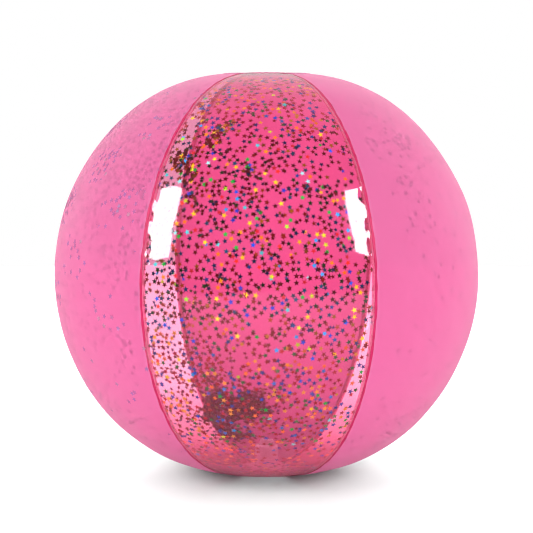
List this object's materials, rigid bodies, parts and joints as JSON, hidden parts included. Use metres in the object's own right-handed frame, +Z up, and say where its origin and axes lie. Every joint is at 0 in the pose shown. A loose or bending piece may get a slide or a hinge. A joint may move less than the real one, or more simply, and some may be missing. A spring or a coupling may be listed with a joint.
{
  "type": "inflatable beach ball",
  "caption": "Inflated vinyl beach ball of clear and pink gores with loose star confetti inside, resting on its bottom pole where the push-in valve is pushed in and plugged.",
  "frame": {"origin": "centre of the resting face on the floor, under the bottom pole", "axes": "+Z up through both poles; -Y through the middle of the front clear gore"},
  "size_m": [0.4, 0.4, 0.3758],
  "materials": {
    "clear_film": "clear glossy vinyl film with a faint pink cast",
    "pink_film": "opaque satin pink vinyl film",
    "valve_vinyl": "soft translucent pink vinyl",
    "foil_maroon": "foil",
    "foil_green": "foil",
    "foil_navy": "foil",
    "foil_blue": "foil",
    "foil_gold": "foil",
    "foil_orange": "foil"
  },
  "bodies": {
    "ball": {"panel_clear_front": "clear_film", "panel_pink_right": "pink_film", "panel_clear_rear_right": "clear_film", "panel_pink_rear": "pink_film", "panel_clear_rear_left": "clear_film", "panel_pink_left": "pink_film", "top_patch": "pink_film", "valve_patch": "pink_film", "valve_flange": "valve_vinyl", "valve_web": "valve_vinyl", "stars_maroon": "foil_maroon", "stars_green": "foil_green", "stars_navy": "foil_navy", "stars_blue": "foil_blue", "stars_gold": "foil_gold", "stars_orange": "foil_orange"},
    "valve": {"valve_stem": "valve_vinyl", "plug_strap": "valve_vinyl"},
    "flap": {"check_flap": "valve_vinyl"},
    "plug": {"valve_plug": "valve_vinyl"}
  },
  "joints": [
    {"name": "valve_pop", "type": "slide", "parent": "ball", "child": "valve", "axis": [0, 0, -1], "range_m": [0, 0.024], "deforming": ["valve_web"]},
    {"name": "plug_flip", "type": "hinge", "parent": "valve", "child": "plug", "pos_m": [-0.0084, 0, 0.00165], "axis": [0, 1, 0], "range_deg": [0, 100], "deforming": ["plug_strap"]},
    {"name": "flap_open", "type": "hinge", "parent": "valve", "child": "flap", "pos_m": [0.0062, 0, 0.02605], "axis": [0, 1, 0], "range_deg": [0, 60]}
  ]
}
